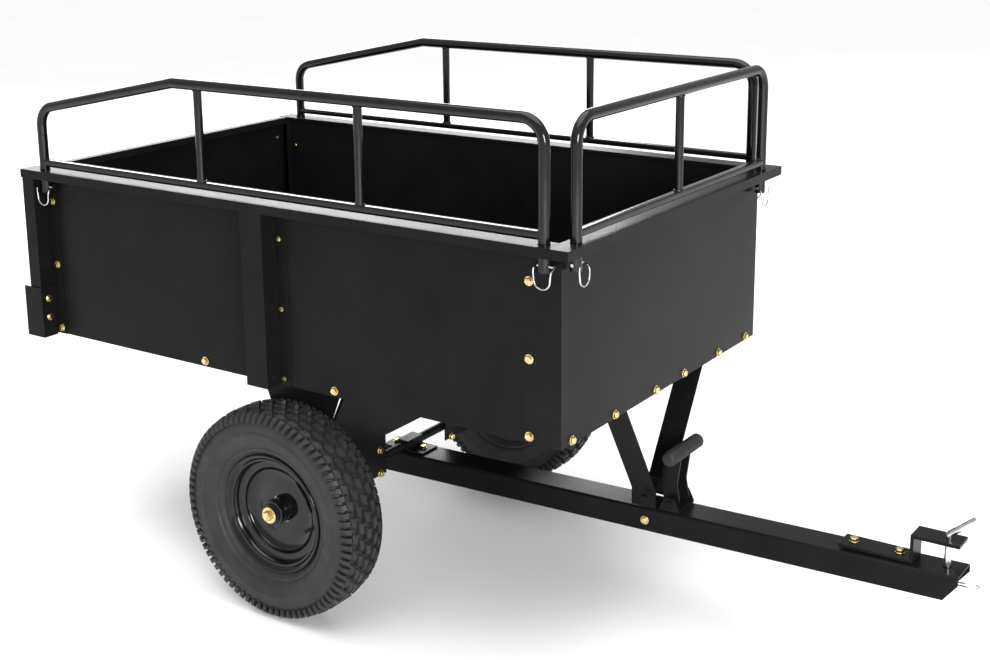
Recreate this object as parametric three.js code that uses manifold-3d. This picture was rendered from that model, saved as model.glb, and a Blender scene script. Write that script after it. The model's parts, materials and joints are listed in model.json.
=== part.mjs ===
// Tow behind cart: a sheet steel bed with lift-off rails on a tilting axle, pulled by a pressed steel tongue.
// Millimetres. +X points forward to the hitch, +Y to the cart's left, +Z up. The origin is on the ground
// under the middle of the whole cart.
import * as THREE from 'three';
import { mergeVertices } from 'three/addons/utils/BufferGeometryUtils.js';
import Module from 'manifold-3d';

const wasm = await Module();
wasm.setup();

// ---- driving dimensions ----
const LEFT = 1;
const RIGHT = -1;
const sheet = 1.5;
const gap = 0.3;

const bedWidth = 760;
const bedLength = 1268;
const bedFront = 346.2;
const bedRear = bedFront - bedLength;
const bedBottom = 435;
const bedTop = 787;
const halfBed = bedWidth / 2;
const wrapBack = 76;

const rimOut = 36;
const rimLip = 17.6;
const rimIn = 8;
const rimHem = 6;
const rimEdge = halfBed + rimOut;

// Heights are measured from a level this far above the ground, and the finished cart is raised by it.
const rideHeight = 11;
const tyreRadius = 208;
const tyreWidth = 108;
const wheelY = halfBed + 20;
const axleX = bedFront - 603;
const axleZ = tyreRadius - rideHeight;
const axleRadius = 9.5;

const tongueWidth = 70;
const tongueHeight = 46;
const tongueWall = 3;
const tongueTilt = 0.0242;
const tongueRear = axleX - 62;
const tongueFront = bedFront + 565;
const tongueTopAtBed = 201.2;

const tubeRadius = 10;
const railOut = 14;
const railTop = 990;
const railFoot = 741;
const pinZ = 752;
const barBottom = bedTop + 10;
const barTop = barBottom + 12;
const barHalf = 8;
const postRadius = 8;

// The posts stand out from the sides as far as the rim's turned-down edge and end below its hem.
const postOut = rimEdge - sheet - gap;
const postTop = bedTop - rimHem - gap;
const postLap = 28;
const middleFront = bedFront - 616;
const middleRear = bedFront - 668;
const panelSeam = (middleFront + middleRear) / 2;
const cornerFront = bedFront - 1236;

// ---- shape helpers ----

// Height of the tongue's top face at a place along the cart.
function tongueTop(x) {
  return tongueTopAtBed + (x - bedFront) * tongueTilt;
}

function shapeOf(outline, holes = []) {
  const shape = new THREE.Shape(outline.map(([a, b]) => new THREE.Vector2(a, b)));
  for (const hole of holes) {
    const path = new THREE.Path();
    path.absarc(hole.at[0], hole.at[1], hole.radius, 0, Math.PI * 2, true);
    shape.holes.push(path);
  }
  return shape;
}

function extruded(outline, depth, holes) {
  return new THREE.ExtrudeGeometry(shapeOf(outline, holes), { depth, bevelEnabled: false, curveSegments: 8 });
}

// A prism with its outline in plan (x, y), standing from z0 to z1.
function prismZ(outline, z0, z1, holes) {
  return extruded(outline, z1 - z0, holes).translate(0, 0, z0);
}

// A prism with its outline seen from the side (x, z), running from y0 to y1.
function prismY(outline, y0, y1, holes) {
  return extruded(outline, y1 - y0, holes).rotateX(Math.PI / 2).translate(0, y1, 0);
}

// A prism with its outline seen from the front (y, z), running from x0 to x1.
function prismX(outline, x0, x1, holes) {
  const turn = new THREE.Matrix4().makeBasis(
    new THREE.Vector3(0, 1, 0),
    new THREE.Vector3(0, 0, 1),
    new THREE.Vector3(1, 0, 0),
  );
  return extruded(outline, x1 - x0, holes).applyMatrix4(turn).translate(x0, 0, 0);
}

function block(x0, x1, ya, yb, z0, z1) {
  const y0 = Math.min(ya, yb);
  const y1 = Math.max(ya, yb);
  const box = new THREE.BoxGeometry(x1 - x0, Math.abs(y1 - y0), z1 - z0);
  return box.translate((x0 + x1) / 2, (y0 + y1) / 2, (z0 + z1) / 2);
}

// The outline of a bent sheet: the path is one face, the other face lies `thickness` to its left.
function folded(path, thickness) {
  const points = path.map(([a, b]) => new THREE.Vector2(a, b));
  const left = points.slice(1).map((end, i) => {
    const along = end.clone().sub(points[i]).normalize();
    return new THREE.Vector2(-along.y, along.x);
  });
  const offset = points.map((point, i) => {
    const before = left[Math.max(i - 1, 0)];
    const after = left[Math.min(i, left.length - 1)];
    const mitre = before.clone().add(after).multiplyScalar(1 / (1 + before.dot(after)));
    return point.clone().addScaledVector(mitre, thickness);
  });
  return [...points, ...offset.reverse()].map((point) => [point.x, point.y]);
}

// A plan outline (x, y) for the left or right side of the cart.
function sidedPlan(outline, side) {
  return outline.map(([x, y]) => [x, y * side]);
}

// A front outline (y, z) for the left or right side of the cart.
function sidedFront(outline, side) {
  return outline.map(([y, z]) => [y * side, z]);
}

function ring(profile, side, segments = 36) {
  const closed = [...profile, profile[0]].map(([radius, out]) => new THREE.Vector2(radius, out * side));
  const area = closed.slice(1).reduce((sum, b, i) => sum + (b.x - closed[i].x) * (b.y + closed[i].y), 0);
  return new THREE.LatheGeometry(area > 0 ? closed.reverse() : closed, segments);
}

function cylinderY(radius, y0, y1, x, z, segments = 24) {
  const rod = new THREE.CylinderGeometry(radius, radius, y1 - y0, segments);
  return rod.translate(x, (y0 + y1) / 2, z);
}

function cylinderX(radius, x0, x1, y, z, segments = 12) {
  const rod = new THREE.CylinderGeometry(radius, radius, x1 - x0, segments).rotateZ(-Math.PI / 2);
  return rod.translate((x0 + x1) / 2, y, z);
}

function cylinderZ(radius, z0, z1, x, y, segments = 24) {
  const rod = new THREE.CylinderGeometry(radius, radius, z1 - z0, segments).rotateX(Math.PI / 2);
  return rod.translate(x, y, (z0 + z1) / 2);
}

// A path given by its stations: where the section of a rod is drawn and which way the rod heads there.
class StationPath extends THREE.Curve {
  constructor(stations) {
    super();
    this.stations = stations;
  }

  station(u) {
    return this.stations[Math.round(u * (this.stations.length - 1))];
  }

  getPointAt(u) {
    return this.station(u).at.clone();
  }

  getTangentAt(u) {
    return this.station(u).along.clone();
  }
}

// The stations of a line of straight stretches joined by round bends of one radius.
function bentPath(corners, bend, bendSteps) {
  const points = corners.map((corner) => new THREE.Vector3(...corner));
  const headings = points.slice(1).map((point, i) => point.clone().sub(points[i]).normalize());
  const stations = [{ at: points[0], along: headings[0] }];
  for (let i = 1; i < headings.length; i += 1) {
    const before = headings[i - 1];
    const after = headings[i];
    const turn = before.angleTo(after);
    const inward = after.clone().addScaledVector(before, -before.dot(after)).normalize();
    const enter = points[i].clone().addScaledVector(before, -bend * Math.tan(turn / 2));
    for (let step = 0; step <= bendSteps; step += 1) {
      const angle = (turn * step) / bendSteps;
      const at = enter.clone().addScaledVector(before, bend * Math.sin(angle));
      at.addScaledVector(inward, bend * (1 - Math.cos(angle)));
      const along = before.clone().multiplyScalar(Math.cos(angle)).addScaledVector(inward, Math.sin(angle));
      stations.push({ at, along });
    }
  }
  stations.push({ at: points.at(-1), along: headings.at(-1) });
  return new StationPath(stations);
}

// A round bar or tube bent along such a path; a bore above zero makes it a tube.
function bentRod(corners, bend, radius, { bendSteps = 3, quarters = 2, bore = 0 } = {}) {
  const path = bentPath(corners, bend, bendSteps);
  const section = new THREE.Shape();
  section.absarc(0, 0, radius, 0, Math.PI * 2);
  if (bore > 0) {
    const inside = new THREE.Path();
    inside.absarc(0, 0, bore, 0, Math.PI * 2, true);
    section.holes.push(inside);
  }
  return new THREE.ExtrudeGeometry(section, {
    steps: path.stations.length - 1,
    extrudePath: path,
    curveSegments: quarters * 2,
    bevelEnabled: false,
  });
}

function solid(geometry) {
  const bare = geometry.clone();
  bare.deleteAttribute('normal');
  bare.deleteAttribute('uv');
  const merged = mergeVertices(bare, 1e-4);
  const mesh = new wasm.Mesh({
    numProp: 3,
    vertProperties: new Float32Array(merged.attributes.position.array),
    triVerts: new Uint32Array(merged.index.array),
  });
  mesh.merge();
  return new wasm.Manifold(mesh);
}

function geometryOf(manifold) {
  const mesh = manifold.getMesh();
  const geometry = new THREE.BufferGeometry();
  geometry.setAttribute('position', new THREE.BufferAttribute(new Float32Array(mesh.vertProperties), 3));
  geometry.setIndex(new THREE.BufferAttribute(new Uint32Array(mesh.triVerts), 1));
  geometry.computeVertexNormals();
  return geometry;
}

// Several overlapping shapes welded into one body, with cutters taken out of it.
function welded(shapes, cutters = []) {
  let body = shapes.map(solid).reduce((sum, shape) => sum.add(shape));
  for (const cutter of cutters) {
    body = body.subtract(solid(cutter));
  }
  return geometryOf(body);
}

// ---- materials ----
const finishes = {
  coat: { color: 0x1c1c1e, metalness: 0.1, roughness: 0.5 },
  gloss: { color: 0x101012, metalness: 0.1, roughness: 0.25 },
  zinc: { color: 0xc8cacc, metalness: 0.9, roughness: 0.35 },
  gold: { color: 0xb59a5a, metalness: 0.85, roughness: 0.4 },
  tyre: { color: 0x1a1a1a, metalness: 0, roughness: 0.9 },
  grip: { color: 0x161616, metalness: 0, roughness: 0.75 },
};

function piece(name, finish, geometry) {
  const mesh = new THREE.Mesh(geometry, new THREE.MeshStandardMaterial(finishes[finish]));
  mesh.name = name;
  return mesh;
}

function sideName(name, side) {
  return `${name}_${side === LEFT ? 'left' : 'right'}`;
}

function group(name, ...children) {
  const parts = new THREE.Group();
  parts.name = name;
  parts.add(...children);
  return parts;
}

// ---- tongue ----
const hitchX = bedFront + 536;
const hitchPinRadius = 6.35;
const plateThick = 6;
const plateHalf = 23;
const baseRear = bedFront + 350;
const upright = bedFront + 477;
const plateTip = bedFront + 561;
const plateTop = 267;
const boltPlaces = [bedFront + 371, bedFront + 453];
const noseDrop = 14;
const noseBack = 26;

// The tongue is a channel pressed from one sheet, open below, with its front lower corners cut back.
function tongueBeam() {
  const half = tongueWidth / 2;
  const length = tongueFront - tongueRear;
  const section = folded([
    [-half, -tongueHeight],
    [-half, -4],
    [-half + 4, 0],
    [half - 4, 0],
    [half, -4],
    [half, -tongueHeight],
  ], -tongueWall);
  const nose = prismY([
    [length - noseBack, -tongueHeight - 1],
    [length + 1, -noseDrop],
    [length + 1, -tongueHeight - 1],
  ], -half - 1, half + 1);
  const pinHole = cylinderZ(hitchPinRadius + 1.5, -tongueWall - 2, 2, hitchX - tongueRear, 0, 16);
  const beam = welded([prismX(section, 0, length)], [nose, pinHole]);
  beam.rotateY(-tongueTilt);
  return piece('tongue_beam', 'coat', beam.translate(tongueRear, 0, tongueTop(tongueRear)));
}

// A thick strap bent into a step: bolted flat on the tongue, up, then forward over the pin.
function hitchBracket() {
  const base = tongueTop(upright) + gap + 1;
  const side = folded([
    [baseRear, base],
    [upright + plateThick, base],
    [upright + plateThick, plateTop - plateThick],
    [plateTip, plateTop - plateThick],
  ], plateThick);
  const strap = prismY(side, -plateHalf, plateHalf);
  const pinHole = cylinderZ(hitchPinRadius + gap, plateTop - 12, plateTop + 5, hitchX, 0);
  return piece('hitch_bracket', 'coat', welded([strap], [pinHole]));
}

function hexBolt(name, radius, height) {
  return piece(name, 'gold', new THREE.CylinderGeometry(radius, radius, height, 6).rotateX(Math.PI / 2));
}

function hitchBolts() {
  const top = tongueTop(upright) + 1 + gap + plateThick;
  return boltPlaces.map((x, i) => {
    const bolt = hexBolt(`hitch_bolt_${i + 1}`, 9, 8);
    bolt.position.set(x, 0, top + 4 + gap);
    return bolt;
  });
}

// The pin is one rod: straight through both plates, then bent over to make its handle.
const clipZ = 186;
const wire = 1.6;

function hitchPin() {
  const bend = plateTop + 8;
  const rod = bentRod([
    [0, 0, 172],
    [0, 0, bend],
    [40, 14, bend + 30],
  ], 11, hitchPinRadius, { bendSteps: 4, quarters: 3 });
  const cross = cylinderX(wire + gap, -12, 12, 0, clipZ, 8);
  const pin = piece('hitch_pin', 'zinc', welded([rod], [cross]));
  pin.position.set(hitchX, 0, 0);
  return pin;
}

// A spring wire clip: its straight leg goes through the pin, its waved leg hugs the outside.
function hitchClip() {
  const clip = piece('hitch_pin_clip', 'zinc', bentRod([
    [-20, 0, 0],
    [36, 0, 0],
    [54, 5, 0],
    [54, 16, 0],
    [30, 13, 0],
    [8, 10.5, 0],
    [-10, 14, 0],
  ], 4, wire));
  clip.position.set(hitchX, 0, clipZ);
  return clip;
}

// A strap over the axle, bolted down on the tongue: the axle turns inside it when the bed tips.
const saddleBolts = 34;
const saddleHalf = 52;
const saddleThick = 4;

function tongueSaddle() {
  const arch = axleRadius + gap;
  const foot = tongueTop(axleX + saddleHalf) + gap - axleZ;
  const inside = [];
  for (let step = 0; step <= 8; step += 1) {
    const angle = Math.PI - (step * Math.PI) / 8;
    inside.push([arch * Math.cos(angle), arch * Math.sin(angle)]);
  }
  const outside = arch + saddleThick;
  const outline = [
    [-saddleHalf, foot],
    [-arch, foot],
    ...inside,
    [arch, foot],
    [saddleHalf, foot],
    [saddleHalf, foot + saddleThick],
    [outside, foot + saddleThick],
    [outside, outside],
    [-outside, outside],
    [-outside, foot + saddleThick],
    [-saddleHalf, foot + saddleThick],
  ];
  const saddle = piece('tongue_saddle', 'coat', prismY(outline, -26, 26));
  saddle.position.set(axleX, 0, axleZ);
  return saddle;
}

function saddleBoltPair() {
  return [-saddleBolts, saddleBolts].map((x, i) => {
    const bolt = hexBolt(`saddle_bolt_${i + 1}`, 8, 6);
    bolt.position.set(axleX + x, 0, tongueTop(axleX + saddleHalf) + saddleThick + 3 + 2 * gap);
    return bolt;
  });
}

// ---- latch ----
const latchX = bedFront + 24;
const latchZ = 221;
const gripAt = [bedFront + 41, 321];
const gripRadius = 14;
const gripHalf = 62;
const leverHalf = 20;
const standHalf = 33;
const pivotRadius = 4;

// A small trough bolted across the tongue, whose cheeks carry the lever.
function latchStand() {
  const base = tongueTop(latchX) + 1.5;
  const top = latchZ + 9;
  const cheeks = folded([[-standHalf, top], [-standHalf, base], [standHalf, base], [standHalf, top]], 3);
  const trough = prismX(cheeks, -20, 20);
  const corners = [-1, 1].map((end) => prismY([
    [end * 20, base + 5],
    [end * 24, base + 5],
    [end * 24, top + 1],
    [end * 9, top + 1],
  ], -standHalf - 1, standHalf + 1));
  const bore = cylinderY(pivotRadius + gap, -standHalf - 1, standHalf + 1, 0, latchZ, 12);
  const stand = piece('latch_stand', 'coat', welded([trough], [...corners, bore]));
  stand.position.set(latchX, 0, 0);
  return stand;
}

function latchPivot() {
  const pivot = piece('latch_pivot', 'coat', cylinderY(pivotRadius, -38, 38, 0, 0, 12));
  pivot.position.set(latchX, 0, latchZ);
  return pivot;
}

// The lever is a folded plate with two cheeks on the pivot and a nose that catches the bed's crossbar.
function latchLever() {
  const top = [gripAt[0] - latchX, gripAt[1] - latchZ];
  const cheek = [
    [-14, -9],
    [12, -11],
    [16, 0],
    [10, 34],
    [top[0] + 2, top[1]],
    [top[0] - 10, top[1] + 6],
    [-18, 76],
    [-22, 40],
    [-34, 24],
    [-34, 12],
    [-20, 14],
  ];
  const pivotHole = { at: [0, 0], radius: pivotRadius + gap };
  const rodHole = { at: [top[0] - 6, top[1] - 3], radius: 5 };
  const cheeks = [RIGHT, LEFT].map((side) => {
    const near = Math.min(side * leverHalf, side * (leverHalf - 3));
    return prismY(cheek, near, near + 3, [pivotHole, rodHole]);
  });
  const back = prismY([[-18, 75], [-22, 40], [-19, 40], [-15, 74]], -leverHalf, leverHalf);
  const lever = piece('latch_lever', 'coat', welded([...cheeks, back]));
  lever.position.set(latchX, 0, latchZ);
  return lever;
}

function latchGrip() {
  const rodX = gripAt[0] - latchX - 6;
  const rodZ = gripAt[1] - latchZ - 3;
  const middle = cylinderY(5 - gap, -leverHalf - 1, leverHalf + 1, rodX, rodZ, 16);
  const halves = [RIGHT, LEFT].map((side) => {
    const y0 = side === LEFT ? leverHalf + gap : -gripHalf;
    return cylinderY(gripRadius, y0, y0 + gripHalf - leverHalf - gap, rodX, rodZ, 20);
  });
  const grip = piece('latch_grip', 'grip', welded([middle, ...halves]));
  grip.position.set(latchX, 0, latchZ);
  return grip;
}

// ---- bed ----
const panelOuter = halfBed - sheet - gap;
const panelInner = panelOuter - sheet;
const floorZ = bedBottom + 2;
const floorEdge = panelInner - gap;
const panelTop = bedTop - sheet - gap;

// The front panel wraps round both corners and back along the sides.
function frontPanel() {
  const plan = folded([
    [bedFront - wrapBack, -halfBed],
    [bedFront, -halfBed],
    [bedFront, halfBed],
    [bedFront - wrapBack, halfBed],
  ], sheet);
  return piece('front_panel', 'coat', prismZ(plan, bedBottom, panelTop));
}

function sidePanels(side) {
  const y0 = side === LEFT ? panelInner : -panelOuter;
  const front = block(panelSeam + gap, bedFront - sheet - gap, y0, y0 + sheet, bedBottom, panelTop);
  const rear = block(cornerFront + gap, panelSeam - gap, y0, y0 + sheet, bedBottom, panelTop);
  return [
    piece(sideName('side_panel_front', side), 'coat', front),
    piece(sideName('side_panel_rear', side), 'coat', rear),
  ];
}

// A sheet floor in two halves with turned-up side edges.
function floorHalf(name, x0, x1, flangeX0) {
  const plate = block(x0, x1, -floorEdge, floorEdge, floorZ, floorZ + sheet);
  const flanges = [RIGHT, LEFT].map((side) => {
    return block(flangeX0, x1, side * (floorEdge - sheet), side * floorEdge, floorZ, floorZ + 20);
  });
  return piece(name, 'coat', welded([plate, ...flanges]));
}

function floorPanels() {
  return [
    floorHalf('floor_front', panelSeam + gap, bedFront - sheet - gap, panelSeam + gap),
    floorHalf('floor_rear', bedRear + sheet + gap, panelSeam - gap, cornerFront + 2),
  ];
}

// The side channel stands out under the rim over the joint of the side panels and laps over the front one.
function sideChannel(side) {
  const plan = folded([
    [middleFront + postLap, halfBed],
    [middleFront, halfBed],
    [middleFront, postOut],
    [middleRear, postOut],
    [middleRear, halfBed - sheet],
  ], sheet);
  return piece(sideName('side_channel', side), 'coat', prismZ(sidedPlan(plan, side), bedBottom, postTop));
}

// The rear post laps over the side panel, stands out under the rim and turns in behind the tailgate;
// a rib in front of the tailgate makes its slot.
const slotIn = 360;

function rearPost(side) {
  const plan = folded([
    [cornerFront + postLap, halfBed],
    [cornerFront, halfBed],
    [cornerFront, postOut],
    [bedRear, postOut],
    [bedRear, slotIn - 8],
  ], sheet);
  const post = prismZ(sidedPlan(plan, side), bedBottom, postTop);
  const ribEnd = side * (halfBed - sheet / 2);
  const rib = block(cornerFront - sheet, cornerFront, side * slotIn, ribEnd, floorZ + 3, postTop);
  return piece(sideName('rear_post', side), 'coat', welded([post, rib]));
}

// A thick angle bolted to the foot of the rear post reaches back past it.
const stopThick = 3;
const stopReach = 16;
const stopHeight = 107;

function stopBracket(side) {
  const front = cornerFront + gap;
  const plan = folded([
    [front, halfBed + 1],
    [front, postOut + gap],
    [bedRear - stopReach, postOut + gap],
  ], -stopThick);
  const foot = bedBottom - 3;
  const angle = prismZ(sidedPlan(plan, side), foot, foot + stopHeight);
  return piece(sideName('stop_bracket', side), 'coat', angle);
}

const legX = [bedFront - 24, bedFront - 1219];
const postX = [bedFront - 400, bedFront - 778];
const sideRailY = halfBed + railOut;
const frontRailX = bedFront + railOut;
const frontLegY = 358;

// The top rim is a ledge with a turned-down edge; holes in it take the legs of the rails.
function sideRim(side) {
  const x0 = bedRear - sheet - 1;
  const x1 = bedFront - rimIn - gap;
  const section = folded([
    [halfBed - rimIn, bedTop - rimHem],
    [halfBed - rimIn, bedTop],
    [rimEdge, bedTop],
    [rimEdge, bedTop - rimLip],
  ], -sheet);
  const lip = block(x0, x0 + sheet, Math.min(side * (halfBed + 1), side * rimEdge),
    Math.max(side * (halfBed + 1), side * rimEdge), bedTop - rimLip, bedTop);
  const holes = legX.map((x) => cylinderZ(tubeRadius + 1, bedTop - 5, bedTop + 5, x, side * sideRailY, 16));
  return piece(sideName('top_rim', side), 'coat', welded([prismX(sidedFront(section, side), x0, x1), lip], holes));
}

function frontRim() {
  const tip = bedFront + rimOut - 2;
  const rear = bedFront - rimIn;
  const top = block(rear, tip, -rimEdge, rimEdge, bedTop - sheet, bedTop);
  const lip = block(tip - sheet, tip, -rimEdge, rimEdge, bedTop - rimLip, bedTop);
  const ends = [RIGHT, LEFT].map((side) => {
    const y0 = side === LEFT ? rimEdge - sheet : -rimEdge;
    return block(rear, tip, y0, y0 + sheet, bedTop - rimLip, bedTop);
  });
  const holes = [RIGHT, LEFT].map((side) => {
    return cylinderZ(tubeRadius + 1, bedTop - 5, bedTop + 5, frontRailX, side * frontLegY, 16);
  });
  return piece('top_rim_front', 'coat', welded([top, lip, ...ends], holes));
}

// ---- running gear ----
const hubOuter = wheelY + 48;

function axle() {
  const rod = cylinderY(axleRadius, -hubOuter + 8, hubOuter - 8, 0, 0, 24);
  const bar = piece('axle', 'coat', rod);
  bar.position.set(axleX, 0, axleZ);
  return bar;
}

// A tapering plate hangs from the bed beside each wheel and holds the axle.
const floorSeat = bedBottom + 2 - gap;
const supportRear = axleX - 100;

function wheelSupport(side) {
  const outer = halfBed - 43;
  const hole = { at: [axleX, axleZ], radius: axleRadius + gap };
  const outline = [
    [supportRear, floorSeat - 3],
    [axleX - 32, 262],
    [axleX - 24, axleZ - 24],
    [axleX + 24, axleZ - 24],
    [axleX + 32, 262],
    [2 * axleX - supportRear, floorSeat - 3],
  ];
  const y0 = side === LEFT ? outer - 3 : -outer;
  const plate = prismY(outline, y0, y0 + 3, [hole]);
  const top = floorSeat;
  const flange = block(supportRear, 2 * axleX - supportRear, side * (outer - 34), side * outer, top - 3, top);
  return piece(sideName('wheel_support', side), 'coat', welded([plate, flange]));
}

// A flat bar runs from the foot of the wheel support up and inward to the floor.
function axleBrace(side) {
  const foot = 260;
  const bar = prismX(sidedFront([
    [258, foot],
    [320, foot],
    [188, floorSeat],
    [132, floorSeat],
  ], side), axleX + 18, axleX + 21);
  const flange = block(axleX + 18, axleX + 48, side * 132, side * 188, floorSeat - 3, floorSeat);
  return piece(sideName('axle_brace', side), 'coat', welded([bar, flange]));
}

// Half of the cross plate that hangs from the floor in front of the axle and is arched over the tongue.
const archHalf = 104;
const archTop = 251;
const plateFoot = 170;

function axleClamp(side) {
  const outer = halfBed - 47;
  const face = prismX(sidedFront([
    [gap, floorSeat],
    [gap, archTop],
    [archHalf, archTop],
    [archHalf, plateFoot],
    [outer, plateFoot],
    [outer, 242],
    [188, floorSeat],
  ], side), axleX + 14, axleX + 17);
  const flange = block(axleX - 20, axleX + 17, side * gap, side * 188, floorSeat - 3, floorSeat);
  return piece(sideName('axle_clamp', side), 'coat', welded([face, flange]));
}

// A flat strut runs from the floor's front edge down to the tongue; its foot turns upright.
const strutWidth = 52;
const strutFoot = 236;
const strutTopY = 153;
const strikeZ = 222;

function latchStrut(side) {
  const outer = tongueWidth / 2;
  const low = tongueTop(bedFront - 26) + 2;
  const section = folded([
    [outer, low],
    [outer, strutFoot],
    [strutTopY, floorSeat - 4],
    [strutTopY + 34, floorSeat - 4],
  ], 3);
  const bar = prismX(sidedFront(section, side), bedFront - sheet - strutWidth, bedFront - sheet - 1);
  const bore = cylinderY(5 + gap, side * outer - 8, side * outer + 8, bedFront - 27, strikeZ, 12);
  return piece(sideName('latch_strut', side), 'coat', welded([bar], [bore]));
}

// The crossbar between the struts is what the latch holds down.
function latchCrossbar() {
  return piece('latch_crossbar', 'coat', cylinderY(5, -40, 40, bedFront - 27, strikeZ, 12));
}

// ---- wheels ----
// Each profile is a list of [radius, distance outboard of the wheel's middle].
const beadRadius = 103;
const lipRadius = 117;
const lipOut = 36.5;

function tyre(side) {
  const half = tyreWidth / 2;
  const outside = [
    [beadRadius, lipOut - 9],
    [lipRadius, lipOut - 5],
    [125, lipOut + 4],
    [144, half - 3],
    [168, half],
    [190, half - 5],
    [202, half - 18],
    [tyreRadius, half - 38],
  ];
  const inside = [
    [176, half - 16],
    [144, half - 16],
    [108, lipOut - 14],
  ];
  const mirrored = (points) => points.map(([radius, out]) => [radius, -out]).reverse();
  const carcass = [...outside, ...mirrored(outside), ...mirrored(inside), ...inside];
  return piece(sideName('tyre', side), 'tyre', ring(carcass, side, 32));
}

// One pressed rim: flanges, bead seats, a barrel and a dished disc welded to the hub.
function rim(side) {
  const barrel = beadRadius - 4.5;
  const profile = [
    [lipRadius, lipOut],
    [lipRadius, lipOut - 2.5],
    [beadRadius - 1, lipOut - 8],
    [beadRadius - 1, 8 - lipOut],
    [lipRadius, 2.5 - lipOut],
    [lipRadius, -lipOut],
    [barrel, 6 - lipOut],
    [barrel, 12],
    [88, 10.5],
    [64, -1.5],
    [36, 1],
    [hubRadius + gap, 2],
    [hubRadius + gap, 5],
    [36, 4],
    [64, 1.5],
    [90, 14],
    [barrel, 16],
    [barrel, lipOut - 6],
  ];
  return piece(sideName('rim', side), 'gloss', ring(profile, side, 28));
}

const hubRadius = 26;
const hubInner = -48;

function hub(side) {
  const bore = axleRadius + gap;
  const outer = hubOuter - wheelY - 10;
  const profile = [
    [bore, hubInner],
    [hubRadius, hubInner],
    [hubRadius, outer - 6],
    [hubRadius - 6, outer],
    [bore, outer],
  ];
  return piece(sideName('hub', side), 'coat', ring(profile, side, 24));
}

function valveStem(side) {
  const stem = piece(sideName('valve_stem', side), 'grip', cylinderY(4, -9, 9, 0, 0, 10));
  stem.position.set(76, side * 22, -20);
  return stem;
}

function wheel(side) {
  const assembly = group(sideName('wheel', side), tyre(side), rim(side), hub(side), valveStem(side));
  assembly.position.set(axleX, side * wheelY, axleZ);
  return assembly;
}

// A bolt and wide washer in the end of the axle keep the wheel on.
function axleEnd(side) {
  const washer = cylinderY(17, -1.5, 1.5, 0, 0, 20);
  const head = cylinderY(10, side === LEFT ? 1 : -9, side === LEFT ? 9 : -1, 0, 0, 6);
  const end = piece(sideName('axle_bolt', side), 'gold', welded([washer, head]));
  end.position.set(axleX, side * (hubOuter - 8 + 1.5 + gap), axleZ);
  return end;
}

// ---- tailgate ----
function tailgate() {
  const rear = bedRear + 6;
  const front = cornerFront - sheet - 5;
  const section = folded([
    [front, floorZ + 22],
    [front, floorZ + 5],
    [rear, floorZ + 5],
    [rear, bedTop],
    [front, bedTop],
    [front, bedTop - 16],
  ], -sheet);
  const half = slotIn + 8;
  return piece('tailgate', 'coat', prismY(section, -half, half));
}

// ---- rails ----

const railBend = 42;
const tubeBore = tubeRadius - 1.5;
const tubing = { bendSteps: 4, quarters: 3, bore: tubeBore };

// A rail is a hoop of tube with a flat bar across it just above the rim and round uprights between.
function sideRail(side) {
  const hoop = bentRod([
    [legX[1], 0, railFoot],
    [legX[1], 0, 911],
    [bedFront - 843, 0, railTop],
    [legX[0], 0, railTop],
    [legX[0], 0, railFoot],
  ], railBend, tubeRadius, tubing);
  const bar = block(legX[1], legX[0], -barHalf, barHalf, barBottom, barTop);
  const bores = legX.map((x) => cylinderZ(tubeBore, railFoot - 1, barTop + 1, x, 0, 12));
  const posts = postX.map((x) => cylinderZ(postRadius, barTop - 2, railTop - tubeRadius + 1.2, x, 0, 12));
  const pinHoles = legX.map((x) => cylinderX(3.8, x - 14, x + 14, 0, pinZ, 8));
  const rail = piece(sideName('rail', side), 'gloss', welded([hoop, bar, ...posts], [...bores, ...pinHoles]));
  rail.position.set(0, side * sideRailY, 0);
  return rail;
}

function frontRail() {
  const hoop = bentRod([
    [0, -frontLegY, railFoot],
    [0, -frontLegY, railTop],
    [0, frontLegY, railTop],
    [0, frontLegY, railFoot],
  ], railBend, tubeRadius, tubing);
  const bar = block(-barHalf, barHalf, -frontLegY, frontLegY, barBottom, barTop);
  const legs = [-frontLegY, frontLegY];
  const bores = legs.map((y) => cylinderZ(tubeBore, railFoot - 1, barTop + 1, 0, y, 12));
  const post = cylinderZ(postRadius, barTop - 2, railTop - tubeRadius + 1.2, 0, 0, 12);
  const pinHoles = legs.map((y) => cylinderY(3.8, y - 14, y + 14, 0, pinZ, 8));
  const rail = piece('rail_front', 'gloss', welded([hoop, bar, post], [...bores, ...pinHoles]));
  rail.position.set(frontRailX, 0, 0);
  return rail;
}

// A wire lock pin: a short rod through the leg and a wire loop hanging beside it.
function lockPin(name, side) {
  const out = side * 14;
  const rod = cylinderX(3, -14, 22, 0, 0, 8);
  const loop = bentRod([
    [20, 0, 0],
    [20, out, -6],
    [16, out, -36],
    [-10, out, -36],
    [-12.5, out, -8],
    [-12.5, out, 0],
  ], 5, 1.4, { bendSteps: 2, quarters: 1.5 });
  return piece(name, 'zinc', welded([rod, loop]));
}

function lockPins() {
  const pins = [];
  for (const side of [RIGHT, LEFT]) {
    legX.forEach((x, i) => {
      const pin = lockPin(sideName(i === 0 ? 'lock_pin_front' : 'lock_pin_rear', side), side);
      pin.position.set(x, side * sideRailY, pinZ);
      pins.push(pin);
    });
    const pin = lockPin(sideName('lock_pin_nose', side), side);
    pin.position.set(frontRailX, side * frontLegY, pinZ);
    pin.rotation.set(0, 0, (-side * Math.PI) / 2);
    pins.push(pin);
  }
  return pins;
}

// ---- assembly ----
const sides = [RIGHT, LEFT];

const tongue = group(
  'tongue',
  tongueBeam(),
  hitchBracket(),
  ...hitchBolts(),
  hitchPin(),
  hitchClip(),
  tongueSaddle(),
  ...saddleBoltPair(),
  latchStand(),
  latchPivot(),
  latchLever(),
  latchGrip(),
);

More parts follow.
